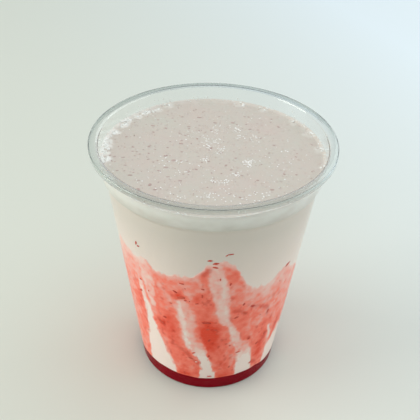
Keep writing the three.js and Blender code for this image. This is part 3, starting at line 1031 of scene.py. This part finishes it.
def makeFoam(values):
    draw = np.random.RandomState(15)
    edge = float(softWall(levels["froth"] + 0.8)) - cup["wall"]
    spots = []
    for angle, radius, spread, count in foamClumps:
        for _ in range(count):
            turned = angle + spread * 2 * draw.randn()
            distance = radius + spread * 0.5 * draw.randn()
            spots.append((turned, distance, 0.24 + 0.5 * draw.rand() ** 1.6))
    for _ in range(values["ring"]):
        turned = draw.rand() * 360
        distance = edge - 0.2 - 0.8 * draw.rand() ** 2
        spots.append((turned, distance, 0.13 + 0.22 * draw.rand() ** 2))
    angle, radius, size = np.array(spots).T
    radius = np.minimum(radius, edge - size)
    a = np.radians(angle)
    places = domesOn(np.stack([radius * np.sin(a), -radius * np.cos(a), size], axis=1), 0.05, 0.5)
    # Drops of foam left on the wall above the froth, most of them on the left.
    for _ in range(values["wall"]):
        angle = -98 + 38 * draw.randn() if draw.rand() < 0.7 else draw.rand() * 360
        z = levels["froth"] + 0.8 + 2.6 * draw.rand() ** 2
        size = 0.12 + 0.25 * draw.rand() ** 2
        a = math.radians(angle)
        out = np.array([math.sin(a), -math.cos(a), 0])
        side = np.array([math.cos(a), math.sin(a), 0])
        axes = [out * 0.06, side * size, np.array([0, 0, size])]
        places.append((onWall(angle, z, cup["wall"] + 0.03), axes))
    material = lumpMaterial("whiteFoam", values["first"], values["second"], 0.15, coat=0.4)
    keep(joinedLumps("whiteFoam", places, material, 2, 0.03, 61))


makeFoam(foamValues)

# The pale floor goes from a warm, darker tone at the front left to a cool, lighter one at the back right:
# painted light, standing in for the stronger light that falls at the back right.
floorValues = {
    "left": (0.688, 0.725, 0.643),
    "right": (0.815, 0.92, 0.965),
    "across": 2.4,
    "back": 1.13,
    "start": 0.23,
    "curve": 1.8,
    "roughness": 0.7,
    "size": 3000,
}


def makeFloor(values):
    material, tree, shader = startMaterial("paleFloor", {"Roughness": values["roughness"]})
    place = tree.nodes.new("ShaderNodeTexCoord")
    along = tree.nodes.new("ShaderNodeSeparateXYZ")
    tree.links.new(place.outputs["Object"], along.inputs[0])
    # Painted light: the share of the lighter, cooler colour grows towards the back right.
    across = mathNode(tree, "MULTIPLY", along.outputs["X"], values["across"])
    back = mathNode(tree, "MULTIPLY", along.outputs["Y"], values["back"])
    share = mathNode(tree, "ADD", mathNode(tree, "ADD", across, back), values["start"], clamp=True)
    share = mathNode(tree, "POWER", share, values["curve"])
    tree.links.new(mixColour(tree, share, values["left"], values["right"]), shader.inputs["Base Color"])
    size = values["size"]
    corners = [(-size, -size, 0), (size, -size, 0), (size, size, 0), (-size, size, 0)]
    floor = makeMesh("floor", corners, [(0, 1, 2, 3)], material)


# Soft square lights, each at its place, turned to its target, in metres and watts.
lightValues = {
    "topLight": {
        "place": (0.0, -0.2, 1.0),
        "target": (0, -0.02, 0.05),
        "size": (1.0, 1.0),
        "power": 3.1,
        "tint": (1.0, 0.99, 0.97),
    },
    "leftLight": {
        "place": (-1.15, -0.1, 0.4),
        "target": (0, 0.05, 0.04),
        "size": (0.8, 0.7),
        "power": 7.6,
        "tint": (1.0, 1.0, 0.95),
    },
    "rightLight": {
        "place": (1.15, 0.2, 0.42),
        "target": (0, 0.1, 0.04),
        "size": (1.3, 0.8),
        "power": 5.1,
        "tint": (0.95, 0.98, 1.0),
    },
    "backLight": {
        "place": (1.0, 1.2, 0.75),
        "target": (0.3, 0.5, 0),
        "size": (1.4, 1.1),
        "power": 4.9,
        "tint": (0.92, 0.98, 1.0),
    },
}
worldValues = {"colour": (0.95, 0.98, 1.0), "strength": 0.5}


def makeLight(name, values):
    data = bpy.data.lights.new(name, "AREA")
    data.shape = "RECTANGLE"
    data.size, data.size_y = values["size"]
    data.energy = values["power"]
    data.color = values["tint"]
    light = bpy.data.objects.new(name, data)
    bpy.context.scene.collection.objects.link(light)
    back = np.array(values["place"], float) - np.array(values["target"], float)
    back /= np.linalg.norm(back)
    right = np.cross([0, 0, 1.0], back)
    right /= np.linalg.norm(right)
    pose = np.eye(4)
    pose[:3, 0], pose[:3, 1], pose[:3, 2] = right, np.cross(back, right), back
    pose[:3, 3] = values["place"]
    light.matrix_world = Matrix(pose.tolist())


def makeWorld(values):
    world = bpy.data.worlds.new("studio")
    world.use_nodes = True
    background = world.node_tree.nodes["Background"]
    setInputs(background, {"Color": (*values["colour"], 1), "Strength": values["strength"]})
    bpy.context.scene.world = world


makeFloor(floorValues)
makeWorld(worldValues)
for lightName, values in lightValues.items():
    makeLight(lightName, values)
print("made the floor and the lights")
